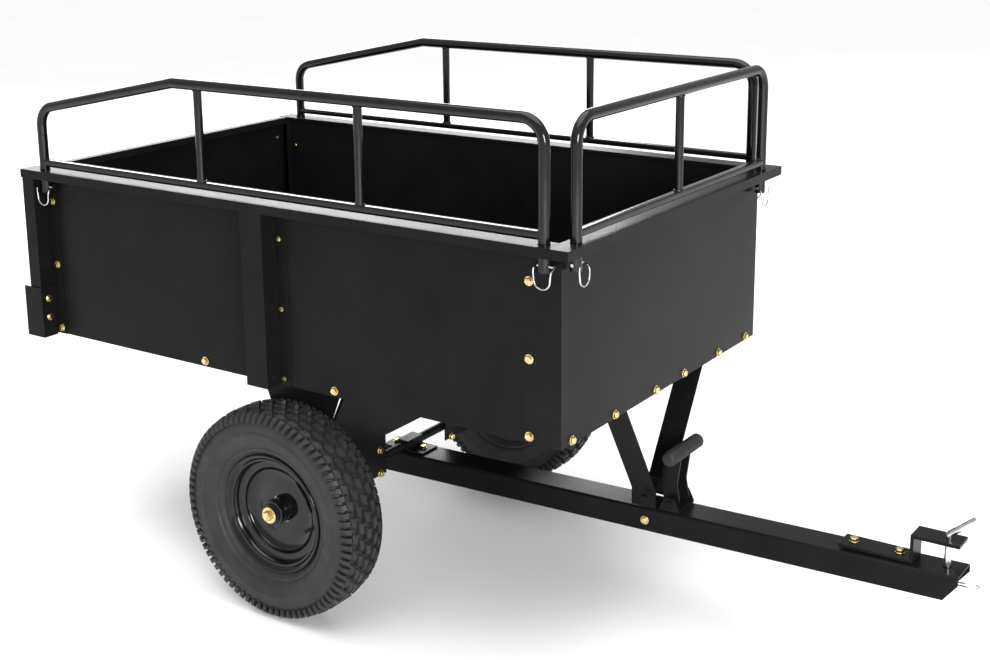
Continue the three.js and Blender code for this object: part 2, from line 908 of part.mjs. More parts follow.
const bed = group(
  'bed',
  frontPanel(),
  frontRim(),
  ...floorPanels(),
  axle(),
  latchCrossbar(),
  tailgate(),
);
for (const side of sides) {
  bed.add(
    ...sidePanels(side),
    sideChannel(side),
    rearPost(side),
    stopBracket(side),
    sideRim(side),
    wheelSupport(side),
    axleBrace(side),
    axleClamp(side),
    latchStrut(side),
    axleEnd(side),
  );
}

const cart = group(
  'tow_behind_cart',
  tongue,
  bed,
  ...sides.map(wheel),
  ...sides.map(sideRail),
  frontRail(),
  ...lockPins(),
);

cart.position.z = rideHeight;

export default cart;
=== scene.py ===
import json
import math

import bmesh
import bpy
from mathutils import Matrix, Vector


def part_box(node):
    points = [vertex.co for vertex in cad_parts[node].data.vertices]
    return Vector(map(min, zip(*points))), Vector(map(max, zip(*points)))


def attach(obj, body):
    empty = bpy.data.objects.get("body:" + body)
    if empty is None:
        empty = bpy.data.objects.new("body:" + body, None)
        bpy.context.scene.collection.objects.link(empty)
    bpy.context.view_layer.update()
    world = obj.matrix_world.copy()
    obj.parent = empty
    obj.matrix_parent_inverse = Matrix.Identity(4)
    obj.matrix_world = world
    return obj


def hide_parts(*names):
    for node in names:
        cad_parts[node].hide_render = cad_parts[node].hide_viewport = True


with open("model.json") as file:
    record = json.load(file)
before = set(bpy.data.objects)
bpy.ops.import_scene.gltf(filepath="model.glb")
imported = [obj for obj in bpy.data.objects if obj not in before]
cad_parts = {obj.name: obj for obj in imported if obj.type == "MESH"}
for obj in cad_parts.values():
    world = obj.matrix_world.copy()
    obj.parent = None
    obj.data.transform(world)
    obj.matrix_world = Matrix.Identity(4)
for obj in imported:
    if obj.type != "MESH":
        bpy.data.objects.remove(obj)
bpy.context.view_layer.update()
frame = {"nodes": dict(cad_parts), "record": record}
CAD = frame["nodes"]
RECORD = frame["record"]
SIDES = {"right": -1, "left": 1}
SLOT_OF = {entry["node"]: entry["material_slot"] for entry in RECORD["subparts"]}
BODY_OF = {node: body for body, nodes in RECORD["behaviour"]["bodies"].items() for node in nodes}


# ---- materials ----

class Surface:
    """A node material with one Principled shader and helpers that feed its sockets."""

    def __init__(self, name, **constants):
        self.material = bpy.data.materials.new(name)
        self.material.use_nodes = True
        self.nodes = self.material.node_tree.nodes
        self.links = self.material.node_tree.links
        self.shader = self.nodes["Principled BSDF"]
        self.place = self.node("ShaderNodeTexCoord").outputs["Object"]
        for socket, value in constants.items():
            self.shader.inputs[socket.replace("_", " ")].default_value = value

    def node(self, kind, **settings):
        made = self.nodes.new(kind)
        for key, value in settings.items():
            setattr(made, key, value)
        return made

    def noise(self, scale, detail=3.0):
        texture = self.node("ShaderNodeTexNoise")
        texture.inputs["Scale"].default_value = scale
        texture.inputs["Detail"].default_value = detail
        self.links.new(self.place, texture.inputs["Vector"])
        return texture.outputs["Fac"]

    def spread(self, value, low=0.0, high=1.0):
        spread = self.node("ShaderNodeMapRange")
        spread.inputs["From Min"].default_value = 0.3
        spread.inputs["From Max"].default_value = 0.7
        spread.inputs["To Min"].default_value = low
        spread.inputs["To Max"].default_value = high
        self.links.new(value, spread.inputs["Value"])
        return spread.outputs["Result"]

    def colours(self, scale, dark, light, detail=3.0):
        mix = self.node("ShaderNodeMix", data_type="RGBA")
        colour_in = [socket for socket in mix.inputs if socket.type == "RGBA"]
        colour_in[0].default_value = (*dark, 1)
        colour_in[1].default_value = (*light, 1)
        colour_out = next(socket for socket in mix.outputs if socket.type == "RGBA")
        self.links.new(self.spread(self.noise(scale, detail)), mix.inputs[0])
        self.links.new(colour_out, self.shader.inputs["Base Color"])

    def rough(self, scale, low, high):
        self.links.new(self.spread(self.noise(scale), low, high), self.shader.inputs["Roughness"])

    def bump(self, scale, depth, strength=0.5):
        bump = self.node("ShaderNodeBump")
        bump.inputs["Strength"].default_value = strength
        bump.inputs["Distance"].default_value = depth
        self.links.new(self.noise(scale, 2), bump.inputs["Height"])
        self.links.new(bump.outputs["Normal"], self.shader.inputs["Normal"])


def grey(value, tint=1.03):
    return (value, value, value * tint)


def powder_coat():
    """Satin black powder coat: faint orange peel and slow changes of gloss."""
    coat = Surface("powder_coat", Specular_IOR_Level=0.07)
    coat.colours(9, grey(0.0060), grey(0.0090))
    coat.rough(5, 0.26, 0.34)
    coat.bump(900, 0.00005)
    return coat.material


def gloss_coat():
    """Glossier black paint of the rails and rims."""
    coat = Surface("gloss_coat", Specular_IOR_Level=0.36)
    coat.colours(12, grey(0.0035), grey(0.006))
    coat.rough(8, 0.10, 0.16)
    coat.bump(500, 0.00003)
    return coat.material


def bright_zinc():
    """Clear zinc plate with slight clouding."""
    zinc = Surface("bright_zinc", Metallic=1.0)
    zinc.colours(60, grey(0.48, 1.01), grey(0.74, 1.01))
    zinc.rough(180, 0.14, 0.30)
    zinc.bump(700, 0.00002)
    return zinc.material


def yellow_zinc():
    """Yellow chromate plate, shifting from straw to olive."""
    zinc = Surface("yellow_zinc", Metallic=1.0)
    zinc.colours(140, (0.50, 0.36, 0.12), (0.86, 0.74, 0.42))
    zinc.rough(300, 0.16, 0.32)
    zinc.bump(900, 0.00002)
    return zinc.material


def tyre_rubber():
    """Matte black rubber, dusty grey in patches."""
    rubber = Surface("tyre_rubber", Specular_IOR_Level=0.32)
    rubber.colours(22, grey(0.014, 1.0), grey(0.026, 1.0), 5)
    rubber.rough(40, 0.42, 0.62)
    rubber.bump(650, 0.00012, 0.6)
    return rubber.material


def grip_rubber():
    """Pebbled black rubber."""
    rubber = Surface("grip_rubber", Specular_IOR_Level=0.4)
    rubber.colours(60, grey(0.010, 1.0), grey(0.02, 1.0))
    rubber.rough(80, 0.45, 0.7)
    rubber.bump(420, 0.0006, 0.8)
    return rubber.material


MATERIALS = {
    "black_coat": powder_coat(),
    "gloss_black": gloss_coat(),
    "bright_zinc": bright_zinc(),
    "yellow_zinc": yellow_zinc(),
    "tyre_rubber": tyre_rubber(),
    "black_rubber": grip_rubber(),
}


def paint(piece, slot_name):
    piece.data.materials.clear()
    piece.data.materials.append(MATERIALS[slot_name])


def soften(piece, width=0.0007):
    """Joins split corners and rounds sharp edges, so that they catch the light."""
    piece.modifiers.new("join", "WELD").merge_threshold = 0.00002
    bevel = piece.modifiers.new("edges", "BEVEL")
    bevel.width = width
    bevel.segments = 2
    bevel.limit_method = "ANGLE"
    bevel.angle_limit = math.radians(40)
    bevel.harden_normals = True


def paint_frame():
    """Every CAD node takes its slot's material and softened edges."""
    for name, slot_name in SLOT_OF.items():
        node = CAD[name]
        paint(node, slot_name)
        soften(node)


# ---- places in the frame ----

def middle(node):
    low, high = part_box(node)
    return (low + high) / 2


BED_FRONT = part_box("front_panel")[1].x
WRAP_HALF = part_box("front_panel")[1].y
PANEL_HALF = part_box("side_panel_front_left")[1].y
SHEET = 0.0015
BED_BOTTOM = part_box("side_panel_front_left")[0].z
RIM_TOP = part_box("top_rim_front")[1].z
UP = Vector((0, 0, 1))
FORWARD = Vector((1, 0, 0))


def outward(side):
    return Vector((0, side, 0))


# ---- mesh making ----

def finished(name, bm, slot_name, body, replaced=(), smooth=40):
    """Turns a bmesh into a piece that rides a body, smooth shaded except at its sharp edges."""
    bmesh.ops.recalc_face_normals(bm, faces=bm.faces)
    mesh = bpy.data.meshes.new(name)
    bm.to_mesh(mesh)
    bm.free()
    piece = bpy.data.objects.new(name, mesh)
    bpy.context.collection.objects.link(piece)
    mesh.shade_smooth()
    mesh.set_sharp_from_angle(angle=math.radians(smooth))
    paint(piece, slot_name)
    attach(piece, body)
    if replaced:
        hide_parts(*replaced)
    return piece


def facing(axis):
    """A rotation that turns +Z to the axis."""
    return Vector(axis).to_track_quat("Z", "Y").to_matrix().to_4x4()


def add_turned(bm, profile, centre, axis, segments):
    """Adds the closed profile of [radius, distance along the axis] turned about the axis."""
    place = Matrix.Translation(centre) @ facing(axis)
    rings = []
    for step in range(segments):
        angle = 2 * math.pi * step / segments
        rings.append([
            bm.verts.new(place @ Vector((radius * math.cos(angle), radius * math.sin(angle), along)))
            for radius, along in profile
        ])
    for step in range(segments):
        here, there = rings[step], rings[(step + 1) % segments]
        for i in range(len(profile)):
            j = (i + 1) % len(profile)
            corners = [here[i], here[j], there[j], there[i]]
            bm.faces.new(corners)


def add_solid_of_revolution(bm, profile, centre, axis, segments):
    """Like add_turned, for a profile that starts and ends on the axis."""
    place = Matrix.Translation(centre) @ facing(axis)
    first = bm.verts.new(place @ Vector((0, 0, profile[0][1])))
    last = bm.verts.new(place @ Vector((0, 0, profile[-1][1])))
    rings = []
    for radius, along in profile[1:-1]:
        rings.append([
            bm.verts.new(place @ Vector((radius * math.cos(a), radius * math.sin(a), along)))
            for a in (2 * math.pi * step / segments for step in range(segments))
        ])
    for step in range(segments):
        turn = (step + 1) % segments
        bm.faces.new([first, rings[0][step], rings[0][turn]])
        bm.faces.new([last, rings[-1][turn], rings[-1][step]])
        for low, high in zip(rings, rings[1:]):
            bm.faces.new([low[step], high[step], high[turn], low[turn]])


def rounded_path(corners, bend, steps=8):
    """The corners of a wire or tube with each bend rounded to the radius."""
    points = [Vector(corners[0])]
    for before, corner, after in zip(corners, corners[1:], corners[2:]):
        corner = Vector(corner)
        back = (Vector(before) - corner)
        ahead = (Vector(after) - corner)
        half = back.angle(ahead) / 2
        reach = min(bend / math.tan(half), back.length * 0.499, ahead.length * 0.499)
        radius = reach * math.tan(half)
        centre = corner + (back.normalized() + ahead.normalized()).normalized() * (radius / math.sin(half))
        start = corner + back.normalized() * reach - centre
        end = corner + ahead.normalized() * reach - centre
        for step in range(steps + 1):
            points.append(centre + start.slerp(end, step / steps).normalized() * radius)
    points.append(Vector(corners[-1]))
    return points


def add_swept(bm, points, radius, segments=16):
    """Adds a round rod along the points."""
    headings = [(b - a).normalized() for a, b in zip(points, points[1:])]
    bends = [(a + b).normalized() for a, b in zip(headings, headings[1:])]
    tangents = [headings[0]] + bends + [headings[-1]]
    normal = tangents[0].orthogonal().normalized()
    rings = []
    for point, tangent in zip(points, tangents):
        normal = (normal - tangent * normal.dot(tangent)).normalized()
        binormal = tangent.cross(normal)
        rings.append([
            bm.verts.new(point + (normal * math.cos(a) + binormal * math.sin(a)) * radius)
            for a in (2 * math.pi * step / segments for step in range(segments))
        ])
    for here, there in zip(rings, rings[1:]):
        for step in range(segments):
            turn = (step + 1) % segments
            bm.faces.new([here[step], here[turn], there[turn], there[step]])
    bm.faces.new(rings[0])
    bm.faces.new(rings[-1])


def add_prism(bm, outline, along):
    """Adds the flat outline of points, drawn out by the vector."""
    base = [bm.verts.new(Vector(point)) for point in outline]
    top = [bm.verts.new(Vector(point) + Vector(along)) for point in outline]
    bm.faces.new(base)
    bm.faces.new(top)
    for i in range(len(base)):
        j = (i + 1) % len(base)
        bm.faces.new([base[i], base[j], top[j], top[i]])


def arc(centre, radius, start, end, steps):
    """Points of [radius, along] on an arc, angles in degrees from the radial direction."""
    return [
        (centre[0] + radius * math.cos(math.radians(start + (end - start) * step / steps)),
         centre[1] + radius * math.sin(math.radians(start + (end - start) * step / steps)))
        for step in range(steps + 1)
    ]


def add_hex_bolt(bm, seat, axis, size, height, washer=0.0):
    """A hexagon head with a chamfered top on a thin washer. Size is the distance over its corners."""
    axis = Vector(axis).normalized()
    thick = 0.0012
    if washer:
        profile = [(0, 0), (washer, 0), (washer, thick * 0.7), (washer - thick * 0.4, thick), (0, thick)]
        add_solid_of_revolution(bm, profile, seat, axis, 28)
    foot = Vector(seat) + axis * (thick if washer else 0)
    place = Matrix.Translation(foot) @ facing(axis)
    corner = size / 2
    levels = [(corner, 0), (corner, height * 0.8), (corner * 0.86, height)]
    rings = [
        [bm.verts.new(place @ Vector((radius * math.cos(math.radians(60 * i + 12)),
                                      radius * math.sin(math.radians(60 * i + 12)), along)))
         for i in range(6)]
        for radius, along in levels
    ]
    bm.faces.new(rings[0])
    bm.faces.new(rings[-1])
    for low, high in zip(rings, rings[1:]):
        for i in range(6):
            j = (i + 1) % 6
            bm.faces.new([low[i], low[j], high[j], high[i]])


def add_bead(bm, centre, axis, radius, thick, segments=24):
    """A lumpy weld bead round a post."""
    place = Matrix.Translation(centre) @ facing(axis)
    rings = []
    for step in range(segments):
        angle = 2 * math.pi * step / segments
        fat = thick * (1 + 0.25 * math.sin(5 * angle) * math.cos(3 * angle))
        rings.append([
            bm.verts.new(place @ Vector((
                (radius + fat * math.cos(a)) * math.cos(angle),
                (radius + fat * math.cos(a)) * math.sin(angle),
                fat * math.sin(a) * 0.9,
            )))
            for a in (2 * math.pi * k / 8 for k in range(8))
        ])
    for step in range(segments):
        here, there = rings[step], rings[(step + 1) % segments]
        for k in range(8):
            m = (k + 1) % 8
            bm.faces.new([here[k], here[m], there[m], there[k]])


# ---- wheels ----

TREAD_DEPTH = 0.009
PITCHES = 40


def crown(radius, half, out):
    """The height of the tread surface at a distance from the tyre's middle."""
    flat = half * 0.25
    beyond = max(abs(out) - flat, 0)
    sag = radius * 0.075 * (beyond / (half - flat)) ** 2.3
    return radius - sag


def tyre(side_name, side):
    """A carcass with a knobby crown, slanted shoulder lugs and thin rings on its walls."""
    node = f"tyre_{side_name}"
    low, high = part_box(node)
    centre = (low + high) / 2
    radius = (high.z - low.z) / 2
    half = (high.y - low.y) / 2
    bead = 0.1045
    groove = radius - TREAD_DEPTH
    axis = outward(side)
    bm = bmesh.new()
    wall = [
        (bead, half * 0.52),
        (bead + 0.012, half * 0.57),
        (bead + 0.017, half * 0.66),
        (bead + 0.020, half * 0.72),
        (bead + 0.023, half * 0.755),
        (bead + 0.026, half * 0.760),
        (bead + 0.0275, half * 0.80),
        (bead + 0.031, half * 0.855),
        (bead + 0.042, half * 0.925),
        (bead + 0.053, half * 0.958),
        (bead + 0.0545, half * 0.975),
        (bead + 0.0575, half * 0.975),
        (bead + 0.059, half * 0.960),
        (bead + 0.066, half * 0.962),
        (bead + 0.074, half * 0.945),
        (bead + 0.082, half * 0.895),
    ]
    tread = []
    steps = 10
    for step in range(steps + 1):
        out = half * 0.82 * (1 - 2 * step / steps)
        tread.append((crown(groove, half, out), out))
    inner = [(bead + 0.004, -half * 0.3), (bead + 0.035, -half * 0.68), (groove - 0.012, -half * 0.6),
             (groove - 0.010, half * 0.6), (bead + 0.035, half * 0.68), (bead + 0.004, half * 0.3)]
    profile = wall + tread + [(r, -out) for r, out in reversed(wall)] + inner
    add_turned(bm, profile, centre, axis, 96)
    for pitch in range(PITCHES):
        angle = 2 * math.pi * pitch / PITCHES
        add_tread_pitch(bm, centre, side, radius, half, angle)
    finished(f"tyre_with_tread_{side_name}", bm, "tyre_rubber", BODY_OF[node], [node], 35)


def add_tread_pitch(bm, centre, side, radius, half, start):
    """One pitch of the tread: a centre knob, two rows each side and a pair of shoulder lugs."""
    turn = 2 * math.pi / PITCHES
    knob = [(-0.42, -0.5), (-0.12, -0.62), (0.12, -0.38), (0.42, -0.5),
            (0.42, 0.38), (0.12, 0.5), (-0.12, 0.26), (-0.42, 0.38)]
    rows = [(0.0, 0.0, 0.30, 0.72), (0.36, 0.5, 0.26, 0.74), (0.66, 0.0, 0.24, 0.70)]
    for place, shift, width, length in rows:
        for hand in ((1,) if place == 0 else (1, -1)):
            outline = [
                (hand * half * (place + u * width), start + turn * (shift + v * length))
                for u, v in knob
            ]
            add_knob(bm, centre, side, radius, half, outline)
    for hand in (1, -1):
        for shift in (0.0, 0.5):
            add_shoulder_lug(bm, centre, side, radius, half, hand, start + turn * shift, turn)


def on_tyre(centre, side, radius, out, angle):
    return centre + Vector((radius * math.cos(angle), side * out, radius * math.sin(angle)))


def add_knob(bm, centre, side, radius, half, outline):
    """A raised block on the crown with slightly sloping flanks."""
    middle_out = sum(out for out, _ in outline) / len(outline)
    middle_angle = sum(angle for _, angle in outline) / len(outline)
    rings = []
    for share, depth in ((1.0, TREAD_DEPTH + 0.001), (0.90, 0.0012), (0.82, 0.0001)):
        rings.append([])
        for out, angle in outline:
            o = middle_out + (out - middle_out) * share
            a = middle_angle + (angle - middle_angle) * share
            rings[-1].append(bm.verts.new(on_tyre(centre, side, crown(radius, half, o) - depth, o, a)))
    bm.faces.new(rings[0])
    bm.faces.new(rings[-1])
    count = len(outline)
    for low, high in zip(rings, rings[1:]):
        for i in range(count):
            j = (i + 1) % count
            bm.faces.new([low[i], low[j], high[j], high[i]])


def add_shoulder_lug(bm, centre, side, radius, half, hand, start, turn):
    """A short rib that runs from the tread's edge down over the shoulder, leaning a little."""
    path = [(radius * 0.975, half * 0.82), (radius * 0.955, half * 0.92), (radius * 0.925, half * 0.99),
            (radius * 0.890, half * 0.998)]
    inside = [(radius * 0.93, half * 0.76), (radius * 0.92, half * 0.85), (radius * 0.90, half * 0.90),
              (radius * 0.88, half * 0.93)]
    width = turn * 0.16
    rings = []
    for step, ((r, out), (deep, deep_out)) in enumerate(zip(path, inside)):
        lean = start + turn * 0.05 * step
        wide = width * (1 - 0.12 * step)
        rings.append([
            bm.verts.new(on_tyre(centre, side, deep, hand * deep_out, lean - wide * 1.25)),
            bm.verts.new(on_tyre(centre, side, r, hand * out, lean - wide)),
            bm.verts.new(on_tyre(centre, side, r, hand * out, lean + wide)),
            bm.verts.new(on_tyre(centre, side, deep, hand * deep_out, lean + wide * 1.25)),
        ])
    bm.faces.new(rings[0])
    bm.faces.new(rings[-1])
    for here, there in zip(rings, rings[1:]):
        for i in range(4):
            j = (i + 1) % 4
            bm.faces.new([here[i], here[j], there[j], there[i]])


def rim(side_name, side):
    """The pressed rim: rolled flanges, a stepped barrel and a dished disc."""
    node = f"rim_{side_name}"
    low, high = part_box(node)
    centre = (low + high) / 2
    radius = (high.z - low.z) / 2
    lip = (high.y - low.y) / 2
    barrel = radius - 0.0185
    curl = 0.0028
    profile = (
        arc((radius - curl, lip - curl), curl, -60, 120, 6)
        + [(radius - 0.009, lip - 0.0035), (radius - 0.0125, lip - 0.009)]
        + [(barrel + 0.001, lip - 0.013), (barrel, lip - 0.019)]
        + arc((barrel - 0.003, 0.0185), 0.003, 0, -70, 4)
        + [(0.091, 0.0145)]
        + arc((0.0875, 0.0115), 0.003, 80, 190, 5)
        + [(0.080, 0.006), (0.070, 0.0025), (0.060, 0.0018)]
        + [(0.050, 0.004), (0.040, 0.0052), (0.0264, 0.005)]
        + [(0.0264, 0.002), (0.040, 0.0012), (0.050, 0.001)]
        + [(0.064, -0.0014), (0.078, 0.002), (0.088, 0.0105)]
        + [(barrel, 0.012), (barrel, 0.006 - lip), (radius - 0.003, -lip), (radius, 0.0025 - lip)]
        + [(radius - 0.015, 0.008 - lip), (radius - 0.015, lip - 0.008)]
    )
    bm = bmesh.new()
    add_turned(bm, profile, centre, outward(side), 96)
    finished(f"pressed_rim_{side_name}", bm, "gloss_black", BODY_OF[node], [node], 50)


def hub(side_name, side):
    """A hub tube with grease seals and black spacer rings at its outer end."""
    node = f"hub_{side_name}"
    low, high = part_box(node)
    centre = middle(f"tyre_{side_name}")
    radius = (high.z - low.z) / 2
    outer = max(abs(low.y), abs(high.y)) - abs(centre.y)
    inner = min(abs(low.y), abs(high.y)) - abs(centre.y)
    bore = (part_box("axle")[1].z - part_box("axle")[0].z) / 2 + 0.0003
    profile = [
        (bore, inner), (radius - 0.001, inner), (radius, inner + 0.001), (radius, 0.0), (0.0225, 0.006),
        (0.0225, outer - 0.022), (0.0255, outer - 0.021), (0.0255, outer - 0.016), (0.0225, outer - 0.015),
        (0.0225, outer - 0.012), (0.0250, outer - 0.011), (0.0250, outer - 0.006), (0.0205, outer - 0.005),
        (0.0205, outer - 0.001), (0.0195, outer), (bore, outer),
    ]
    bm = bmesh.new()
    add_turned(bm, profile, centre, outward(side), 48)
    finished(f"turned_hub_{side_name}", bm, "gloss_black", BODY_OF[node], [node], 30)


def axle_bolt(side_name, side):
    node = f"axle_bolt_{side_name}"
    low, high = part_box(node)
    centre = (low + high) / 2
    seat = Vector((centre.x, low.y if side > 0 else high.y, centre.z))
    bm = bmesh.new()
    washer = [(0, 0), (0.0165, 0), (0.0168, 0.001), (0.0150, 0.0026), (0, 0.0026)]
    add_solid_of_revolution(bm, washer, seat, outward(side), 40)
    add_hex_bolt(bm, seat + outward(side) * 0.0026, outward(side), 0.0195, 0.0072)
    finished(f"axle_end_bolt_{side_name}", bm, "yellow_zinc", BODY_OF[node], [node], 30)


def valve(side_name, side):
    node = f"valve_stem_{side_name}"
    low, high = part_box(node)
    centre = (low + high) / 2
    reach = (high.y - low.y)
    seat = Vector((centre.x, low.y if side > 0 else high.y, centre.z))
    bm = bmesh.new()
    profile = [(0, 0), (0.0039, 0), (0.0039, reach * 0.2), (0.0028, reach * 0.45), (0.0026, reach * 0.7),
               (0.0031, reach * 0.72), (0.0031, reach * 0.96), (0.0024, reach), (0, reach)]
    add_solid_of_revolution(bm, profile, seat, outward(side), 20)
    finished(f"valve_with_cap_{side_name}", bm, "black_rubber", BODY_OF[node], [node], 35)


def wheels():
    for side_name, side in SIDES.items():
        tyre(side_name, side)
        rim(side_name, side)
        hub(side_name, side)
        axle_bolt(side_name, side)
        valve(side_name, side)


# ---- rails and lock pins ----

TUBE = 0.010
POST = 0.008
BEND = 0.042
BAR_HALF = 0.008
BAR_GAP = 0.010
BAR_THICK = 0.012


def rail_bar(bm, start, end, half, low, high):
    """The flat bar, its long edges rounded, as a rounded box along start to end."""
    along = (end - start).normalized()
    across = along.cross(UP)
    edge = 0.0022
    outline = []
    for u, v, begin in ((1, -1, 270), (1, 1, 0), (-1, 1, 90), (-1, -1, 180)):
        rise = (high + low) / 2 - start.z + v * ((high - low) / 2 - edge)
        corner = start + across * (u * (half - edge)) + UP * rise
        for step in range(4):
            angle = math.radians(begin + 30 * step)
            outline.append(corner + across * (edge * math.cos(angle)) + UP * (edge * math.sin(angle)))
    add_prism(bm, outline, end - start)


def rail(name, hoop, post_places, bar_low, bar_high):
    """A bent tube hoop with a bar across it, round posts and weld beads where they meet."""
    bm = bmesh.new()
    add_swept(bm, rounded_path(hoop, BEND, 12), TUBE, 28)
    first, last = Vector(hoop[0]), Vector(hoop[-1])
    along = (last - first).normalized()
    bar_start = Vector((first.x, first.y, bar_low))
    bar_end = Vector((last.x, last.y, bar_low))
    rail_bar(bm, bar_start, bar_end, BAR_HALF, bar_low, bar_high)
    top = max(point[2] for point in hoop)
    for place in post_places:
        foot = first + along * place
        post_low = Vector((foot.x, foot.y, bar_high - 0.002))
        post_high = Vector((foot.x, foot.y, top - TUBE * 0.6))
        add_swept(bm, [post_low, post_high], POST, 24)
        add_bead(bm, Vector((foot.x, foot.y, bar_high + 0.0006)), UP, POST - 0.0005, 0.0022)
        add_bead(bm, Vector((foot.x, foot.y, top - TUBE * 0.93)), UP, POST - 0.0008, 0.0020)
    for leg, inward in ((first, along), (last, -along)):
        joint = Vector((leg.x, leg.y, (bar_low + bar_high) / 2)) + inward * (TUBE - 0.0006)
        add_bead(bm, joint, inward, 0.0062, 0.0018)
    finished(f"{name}_tube", bm, "gloss_black", BODY_OF[name], [name], 50)


def rails():
    bar_low = RIM_TOP + BAR_GAP
    bar_high = bar_low + BAR_THICK
    for side_name in SIDES:
        node = f"rail_{side_name}"
        low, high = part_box(node)
        y = (low.y + high.y) / 2
        top = high.z - TUBE
        rear, front = low.x + TUBE, high.x - TUBE
        slope_end = BED_FRONT - 0.843
        hoop = [
            (rear, y, low.z),
            (rear, y, top - 0.079),
            (slope_end, y, top),
            (front, y, top),
            (front, y, low.z),
        ]
        rail(node, hoop, [BED_FRONT - 0.778 - rear, BED_FRONT - 0.400 - rear], bar_low, bar_high)
    low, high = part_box("rail_front")
    x = (low.x + high.x) / 2
    top = high.z - TUBE
    right, left = low.y + TUBE, high.y - TUBE
    hoop = [(x, right, low.z), (x, right, top), (x, left, top), (x, left, low.z)]
    rail("rail_front", hoop, [(left - right) / 2], bar_low, bar_high)


def lock_pin(node, along, out):
    """A straight pin through the leg with a rounded wire bail that springs round to its tip."""
    low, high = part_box(node)
    wire = 0.0014
    pin_radius = 0.003
    lengthwise = Vector(along)
    across = lengthwise.cross(UP)
    extent = high - low
    half_long = abs(extent.dot(lengthwise)) / 2
    half_wide = abs(extent.dot(across)) / 2
    pin_z = high.z - pin_radius
    centre = (low + high) / 2
    centre.z = pin_z
    pin_line = centre - across * (out * (half_wide - pin_radius))
    bail_line = centre + across * (out * (half_wide - wire))
    start = pin_line + lengthwise * (half_long - 0.0025)
    end = pin_line - lengthwise * (half_long - 0.0015)
    bail_drop = UP * (low.z + wire - pin_z)
    bm = bmesh.new()
    add_swept(bm, [end, start], pin_radius, 20)
    bail = [
        start - lengthwise * 0.0005,
        bail_line + lengthwise * (half_long - wire) - UP * 0.006,
        bail_line + lengthwise * (half_long - 0.004) + bail_drop,
        bail_line - lengthwise * (half_long - 0.005) + bail_drop,
        bail_line - lengthwise * (half_long - wire) - UP * 0.008,
        bail_line - lengthwise * (half_long - 0.0025) - UP * 0.001,
    ]
    add_swept(bm, rounded_path(bail, 0.014, 8), wire, 12)
    finished(f"{node}_wire", bm, "bright_zinc", BODY_OF[node], [node], 50)


def lock_pins():
    for side_name, side in SIDES.items():
        for end in ("front", "rear"):
            lock_pin(f"lock_pin_{end}_{side_name}", (1, 0, 0), -side)
        lock_pin(f"lock_pin_nose_{side_name}", (0, -side, 0), -side)


# ---- hardware ----

# Size over the corners, height and washer radius.
PANEL_BOLT = (0.0135, 0.0045, 0.0085)
POST_BOLT = (0.0085, 0.003, 0.0055)
STOP_BOLT = (0.0125, 0.0045, 0.0075)
CLAMP_BOLT = (0.0135, 0.0055, 0.008)

BOLT_HEIGHTS = [BED_BOTTOM + 0.283, BED_BOTTOM + 0.149, BED_BOTTOM + 0.013]
CORNER_BOLTS = BED_FRONT - 1.222


def panel_bolts():
    """Yellow hexagon bolts on the corners, the posts and the bottom edges of the panels."""
    bm = bmesh.new()
    for side_name, side in SIDES.items():
        for x in (BED_FRONT - 0.062, CORNER_BOLTS):
            for z in BOLT_HEIGHTS:
                add_hex_bolt(bm, (x, side * WRAP_HALF, z), outward(side), *PANEL_BOLT)
        for z in BOLT_HEIGHTS:
            add_hex_bolt(bm, (BED_FRONT - 0.606, side * WRAP_HALF, z), outward(side), *POST_BOLT)
        for x in (BED_FRONT - 0.485, BED_FRONT - 0.810):
            add_hex_bolt(bm, (x, side * PANEL_HALF, BED_BOTTOM + 0.012), outward(side), *PANEL_BOLT)
        low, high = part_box(f"stop_bracket_{side_name}")
        for z in (BED_BOTTOM + 0.079, BED_BOTTOM + 0.039):
            add_hex_bolt(bm, (high.x, (low.y + high.y) / 2, z), FORWARD, *STOP_BOLT)
    for y in (-0.345, -0.199, -0.047, 0.066, 0.215, 0.340):
        add_hex_bolt(bm, (BED_FRONT, y, BED_BOTTOM + 0.008), FORWARD, *PANEL_BOLT)
    finished("panel_bolts", bm, "yellow_zinc", "bed", (), 30)


def inner_bolt_ends():
    """The ends of the corner bolts inside the bed."""
    bm = bmesh.new()
    for side in SIDES.values():
        for z in BOLT_HEIGHTS[:2]:
            seat = (CORNER_BOLTS, side * (PANEL_HALF - SHEET), z)
            add_hex_bolt(bm, seat, outward(-side), 0.010, 0.005)
    finished("corner_bolt_ends", bm, "yellow_zinc", "bed", (), 30)


def tailgate_bolts():
    """Small bolt heads near the tailgate's ends, on its inner face."""
    bm = bmesh.new()
    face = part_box("tailgate")[0].x + SHEET
    for side in SIDES.values():
        for z in (BED_BOTTOM + 0.303, BED_BOTTOM + 0.160):
            add_hex_bolt(bm, (face, side * 0.352, z), FORWARD, 0.010, 0.004)
    finished("tailgate_bolts", bm, "yellow_zinc", "tailgate", (), 30)


def tongue_bolts():
    """A bolt on each side of the tongue under the foot of the strut."""
    bm = bmesh.new()
    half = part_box("tongue_beam")[1].y
    for side in SIDES.values():
        seat = (BED_FRONT - 0.0245, side * half, BED_BOTTOM - 0.2593)
        add_hex_bolt(bm, seat, outward(side), *PANEL_BOLT)
    finished("tongue_bolts", bm, "yellow_zinc", "tongue", (), 30)


def clamp_bolts():
    """Bolts above and below the axle on the cross plate."""
    bm = bmesh.new()
    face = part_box("axle_clamp_right")[1].x
    axle_z = middle("axle").z
    for side in SIDES.values():
        for z in (axle_z + 0.028, axle_z - 0.023):
            add_hex_bolt(bm, (face, side * 0.124, z), FORWARD, *CLAMP_BOLT)
    finished("clamp_bolts", bm, "yellow_zinc", "bed", (), 30)


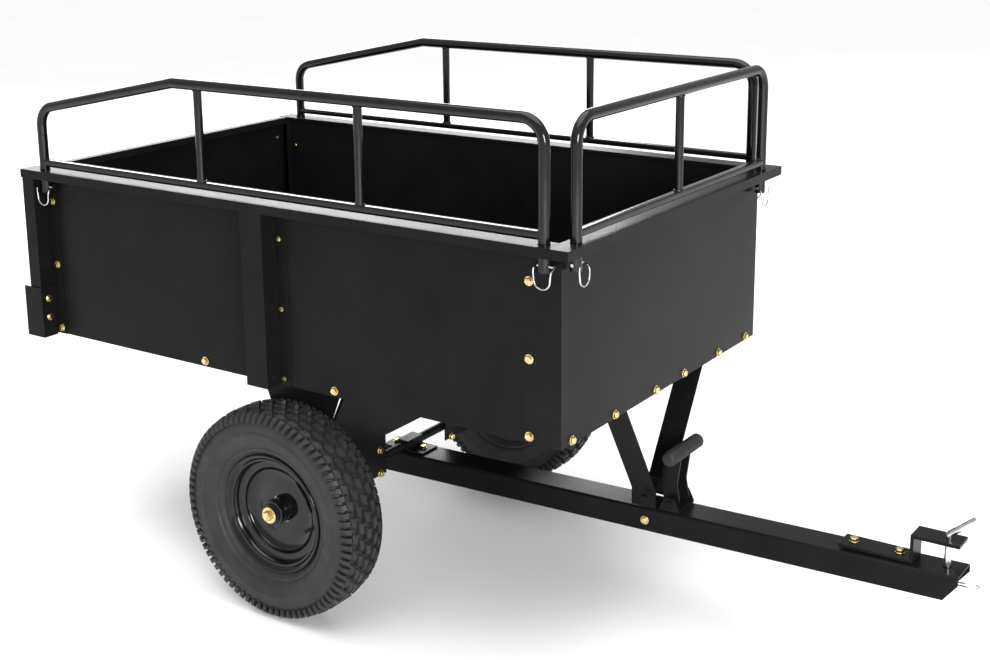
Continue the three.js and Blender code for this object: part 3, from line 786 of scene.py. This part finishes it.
def small_bolts():
    """The CAD bolts on the hitch and the saddle, with chamfered hexagon heads."""
    for node, size in (("hitch_bolt_1", 0.0165), ("hitch_bolt_2", 0.0165), ("saddle_bolt_1", 0.0145),
                       ("saddle_bolt_2", 0.0145)):
        low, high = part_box(node)
        seat = Vector(((low.x + high.x) / 2, (low.y + high.y) / 2, low.z))
        bm = bmesh.new()
        add_hex_bolt(bm, seat, UP, size, (high.z - low.z) * 0.72, size * 0.53)
        finished(f"{node}_head", bm, "yellow_zinc", BODY_OF[node], [node], 30)


def hardware():
    panel_bolts()
    inner_bolt_ends()
    tailgate_bolts()
    tongue_bolts()
    clamp_bolts()
    small_bolts()


# ---- hitch ----

def hitch_pin():
    """A round pin with its top bent over as a handle."""
    low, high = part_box("hitch_pin")
    radius = 0.00635
    x = low.x + radius
    y = low.y + radius
    tip = Vector((high.x - radius * 0.7, high.y - radius * 0.9, high.z - radius * 0.75))
    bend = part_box("hitch_bracket")[1].z + 0.008
    bm = bmesh.new()
    path = rounded_path([(x, y, low.z + 0.0015), (x, y, bend), tip], 0.011, 10)
    add_swept(bm, path, radius, 28)
    rim_of_cap = radius - 0.0001
    cap = [(0, 0.0), (radius - 0.0015, 0.0), (rim_of_cap, 0.0015), (rim_of_cap, 0.004), (0, 0.004)]
    add_solid_of_revolution(bm, cap, (x, y, low.z), UP, 28)
    finished("bent_hitch_pin", bm, "bright_zinc", BODY_OF["hitch_pin"], ["hitch_pin"], 40)


def hitch_clip():
    """The hairpin through the pin's tip: a straight leg, a round loop and a humped leg."""
    low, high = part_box("hitch_pin_clip")
    wire = 0.0016
    z = (low.z + high.z) / 2
    y0 = low.y + wire
    far = high.y - wire
    head = high.x - wire
    x = low.x
    corners = [
        (x, y0, z), (head - 0.020, y0, z), (head - 0.006, y0 + 0.001, z), (head, y0 + 0.008, z),
        (head - 0.004, far, z), (head - 0.016, far - 0.001, z), (head - 0.026, far - 0.004, z),
        (head - 0.040, y0 + 0.0098, z), (head - 0.050, y0 + 0.0105, z), (x + 0.010, far - 0.002, z),
    ]
    bm = bmesh.new()
    add_swept(bm, rounded_path(corners, 0.006, 6), wire, 12)
    finished("hairpin_clip", bm, "bright_zinc", BODY_OF["hitch_pin_clip"], ["hitch_pin_clip"], 50)


# ---- latch ----

def latch_grip():
    """One knurled rubber sleeve with rounded ends."""
    low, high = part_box("latch_grip")
    centre = (low + high) / 2
    radius = (high.z - low.z) / 2
    half = (high.y - low.y) / 2
    segments = 48
    knurl = 0.0009
    rings = 34
    start = half - 0.004
    levels = [(radius - 0.005, -half), (radius - 0.0022, 0.0012 - half)]
    levels += [(radius, start * (2 * i / rings - 1)) for i in range(rings + 1)]
    levels += [(radius - 0.0022, half - 0.0012), (radius - 0.005, half)]
    bm = bmesh.new()
    loops = []
    for count, (reach, along) in enumerate(levels):
        loops.append([])
        for step in range(segments):
            angle = 2 * math.pi * step / segments
            dip = knurl if reach == radius and (count + step) % 2 else 0
            loops[-1].append(bm.verts.new(centre + Vector((
                (reach - dip) * math.cos(angle), along, (reach - dip) * math.sin(angle)))))
    bm.faces.new(loops[0])
    bm.faces.new(loops[-1])
    for here, there in zip(loops, loops[1:]):
        for step in range(segments):
            turn = (step + 1) % segments
            bm.faces.new([here[step], here[turn], there[turn], there[step]])
    finished("rubber_grip", bm, "black_rubber", BODY_OF["latch_grip"], ["latch_grip"], 40)


# ---- studio ----

def floor():
    bm = bmesh.new()
    bmesh.ops.create_grid(bm, x_segments=2, y_segments=2, size=30)
    mesh = bpy.data.meshes.new("floor")
    bm.to_mesh(mesh)
    bm.free()
    plane = bpy.data.objects.new("floor", mesh)
    bpy.context.collection.objects.link(plane)
    pale = Surface("pale_floor", Specular_IOR_Level=0.1)
    pale.colours(2, (0.94, 0.94, 0.94), (0.96, 0.96, 0.96))
    pale.rough(6, 0.7, 0.8)
    mesh.materials.append(pale.material)


def area_light(name, place, aim, size, watts):
    data = bpy.data.lights.new(name, "AREA")
    data.shape = "RECTANGLE"
    data.size, data.size_y = size
    data.energy = watts
    light = bpy.data.objects.new(name, data)
    light.location = place
    light.rotation_euler = (Vector(aim) - Vector(place)).to_track_quat("-Z", "Y").to_euler()
    bpy.context.collection.objects.link(light)


def soft_sun(strength):
    """An even light straight from above that keeps the whole floor white."""
    data = bpy.data.lights.new("sky_panel", "SUN")
    data.energy = strength
    data.angle = math.radians(70)
    light = bpy.data.objects.new("sky_panel", data)
    bpy.context.collection.objects.link(light)


def studio():
    bpy.context.scene.view_settings.view_transform = "Standard"
    world = bpy.data.worlds.new("studio")
    bpy.context.scene.world = world
    world.use_nodes = True
    sky = world.node_tree.nodes["Background"]
    sky.inputs["Color"].default_value = (1.0, 1.0, 1.0, 1)
    sky.inputs["Strength"].default_value = 0.6
    floor()
    area_light("overhead", (0.3, -0.4, 4.2), (0, 0, 0.4), (4.0, 4.0), 90)
    area_light("front_right", (4.2, -3.4, 1.8), (0, 0, 0.4), (1.6, 1.6), 260)
    area_light("rear_left", (-5.0, 4.6, 3.0), (0, 0, 0.6), (5.0, 1.6), 220)
    soft_sun(1.3)


PHOTO_FROM = Vector((BED_FRONT + 1.2139, -2.378, 1.380))


def photo_camera():
    """The photograph's view: from the right front, a little above the rails."""
    data = bpy.data.cameras.new("photo")
    data.sensor_width = 36
    data.lens = 54.71
    data.shift_x = 0.0053
    data.shift_y = -0.101
    data.dof.use_dof = False
    camera = bpy.data.objects.new("photo", data)
    azimuth, elevation, roll = math.radians(34.09), math.radians(13.41), math.radians(-0.5)
    back = Vector((math.sin(azimuth) * math.cos(elevation), -math.cos(azimuth) * math.cos(elevation),
                   math.sin(elevation)))
    right = Vector((math.cos(azimuth), math.sin(azimuth), 0))
    up = back.cross(right)
    turned_right = right * math.cos(roll) + up * math.sin(roll)
    turned_up = up * math.cos(roll) - right * math.sin(roll)
    camera.matrix_world = Matrix((
        (turned_right.x, turned_up.x, back.x, PHOTO_FROM.x),
        (turned_right.y, turned_up.y, back.y, PHOTO_FROM.y),
        (turned_right.z, turned_up.z, back.z, PHOTO_FROM.z),
        (0, 0, 0, 1),
    ))
    bpy.context.collection.objects.link(camera)
    bpy.context.scene.camera = camera


paint_frame()
wheels()
rails()
lock_pins()
hardware()
hitch_pin()
hitch_clip()
latch_grip()
studio()
photo_camera()
